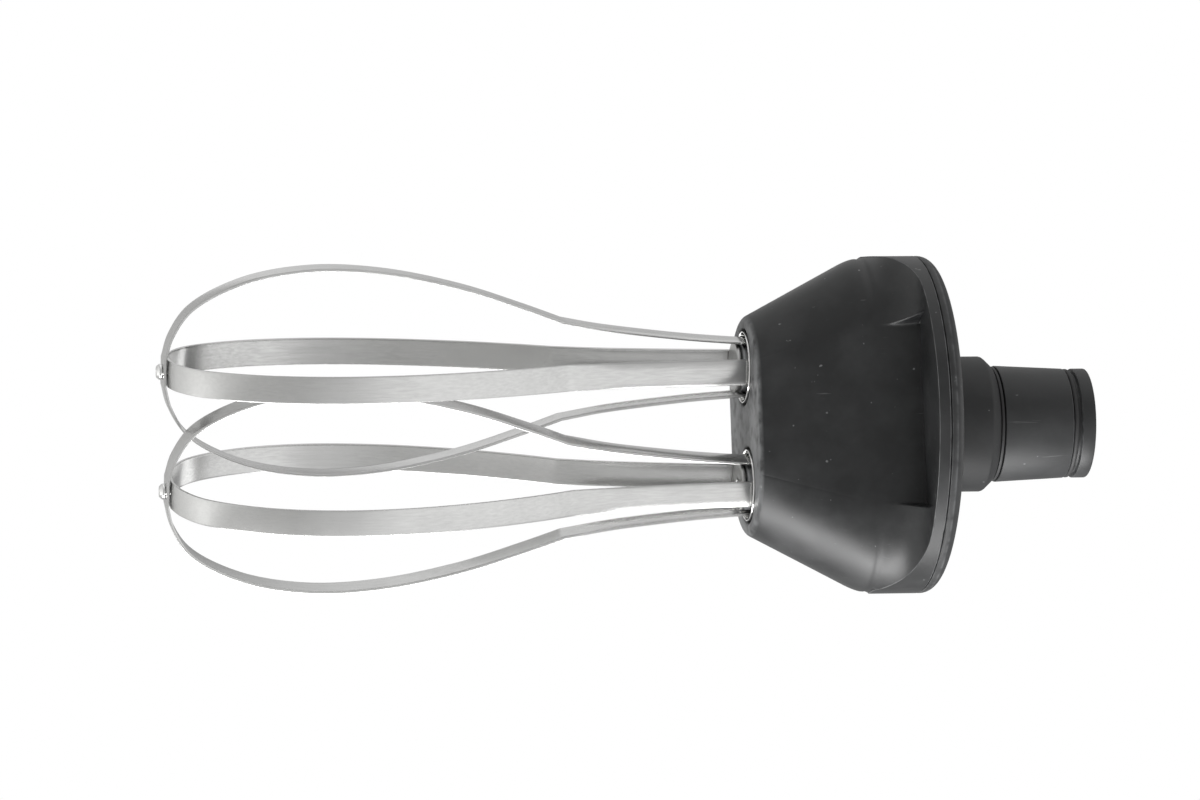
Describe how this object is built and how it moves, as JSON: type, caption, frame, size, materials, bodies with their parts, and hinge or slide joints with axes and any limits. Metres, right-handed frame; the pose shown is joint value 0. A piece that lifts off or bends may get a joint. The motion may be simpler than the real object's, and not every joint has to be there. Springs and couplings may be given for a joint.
{
  "type": "twin whisk tool for a hand-held stick mixer",
  "caption": "Black gear casing with a coupling sleeve at one end that drives interleaved balloon whisks of flat steel strip, turning against each other.",
  "frame": {"origin": "on the drive axis at the end of the cover's boss, where the motor unit's socket stops", "axes": "+Z along the drive axis towards the motor unit, +X from whisk a to whisk b; the whisks hang towards -Z"},
  "size_m": [0.1066, 0.1066, 0.2957],
  "materials": {
    "casing_plastic": "moulded, fine satin grain",
    "cover_plastic": "moulded, satin, worn at the rim",
    "sleeve_plastic": "moulded, smooth satin",
    "strip_steel": "rolled stainless strip, brushed lengthwise",
    "polished_steel": "turned and polished stainless",
    "fixing_steel": "stainless fixings",
    "gear_steel": "machined, oiled",
    "gear_nylon": "natural nylon, greased",
    "bronze": "sintered, oil filled",
    "rubber": "moulded nitrile",
    "aluminium": "die cast"
  },
  "bodies": {
    "housing": {"gear_casing": "casing_plastic", "casing_cover": "cover_plastic", "coupling_sleeve": "sleeve_plastic", "boss_seal_ring": "rubber", "sleeve_o_ring": "rubber", "cover_seal": "rubber", "cover_screw_1": "fixing_steel", "cover_screw_2": "fixing_steel", "cover_screw_3": "fixing_steel", "cover_screw_4": "fixing_steel", "bearing_plate": "aluminium", "plate_screw_1": "fixing_steel", "plate_screw_2": "fixing_steel", "input_lower_bush": "bronze", "input_bearing_outer": "gear_steel", "input_ball_cage": "gear_steel", "input_shaft_seal": "rubber", "spindle_seal_a": "rubber", "spindle_seal_b": "rubber", "lower_bush_a": "bronze", "lower_bush_b": "bronze", "upper_bush_a": "bronze", "upper_bush_b": "bronze"},
    "spindle_a": {"spindle_a": "polished_steel", "spindle_circlip_a": "fixing_steel", "whisk_gear_a": "gear_nylon", "drive_gear": "gear_steel"},
    "spindle_b": {"spindle_b": "polished_steel", "spindle_circlip_b": "fixing_steel", "whisk_gear_b": "gear_nylon"},
    "input_drive": {"input_shaft": "gear_steel", "input_pinion": "gear_steel", "input_bearing_inner": "gear_steel"},
    "whisk_a": {"whisk_a_outer_loop": "strip_steel", "whisk_a_inner_loop": "strip_steel", "whisk_a_outer_pin": "fixing_steel", "whisk_a_inner_pin": "fixing_steel", "whisk_a_hub": "aluminium", "whisk_a_retaining_ring": "rubber", "whisk_a_hub_washer": "fixing_steel", "whisk_a_tip_rivet": "polished_steel"},
    "whisk_b": {"whisk_b_outer_loop": "strip_steel", "whisk_b_inner_loop": "strip_steel", "whisk_b_outer_pin": "fixing_steel", "whisk_b_inner_pin": "fixing_steel", "whisk_b_hub": "aluminium", "whisk_b_retaining_ring": "rubber", "whisk_b_hub_washer": "fixing_steel", "whisk_b_tip_rivet": "polished_steel"}
  },
  "joints": [
    {"name": "spindle_a_turn", "type": "hinge", "parent": "housing", "child": "spindle_a", "pos_m": [-0.01875, 0, -0.05], "axis": [0, 0, 1], "continuous": true},
    {"name": "spindle_b_turn", "type": "hinge", "parent": "housing", "child": "spindle_b", "pos_m": [0.01875, 0, -0.05], "axis": [0, 0, 1], "continuous": true},
    {"name": "input_turn", "type": "hinge", "parent": "housing", "child": "input_drive", "pos_m": [0, 0, -0.03], "axis": [0, 0, 1], "continuous": true},
    {"name": "whisk_a_pull", "type": "slide", "parent": "spindle_a", "child": "whisk_a", "axis": [0, 0, -1], "range_m": [0, 0.0166]},
    {"name": "whisk_b_pull", "type": "slide", "parent": "spindle_b", "child": "whisk_b", "axis": [0, 0, -1], "range_m": [0, 0.0166]}
  ],
  "couplings": [
    {"joint": "spindle_b_turn", "follows": "spindle_a_turn", "ratio": -1},
    {"joint": "input_turn", "follows": "spindle_a_turn", "ratio": -3.1667}
  ]
}
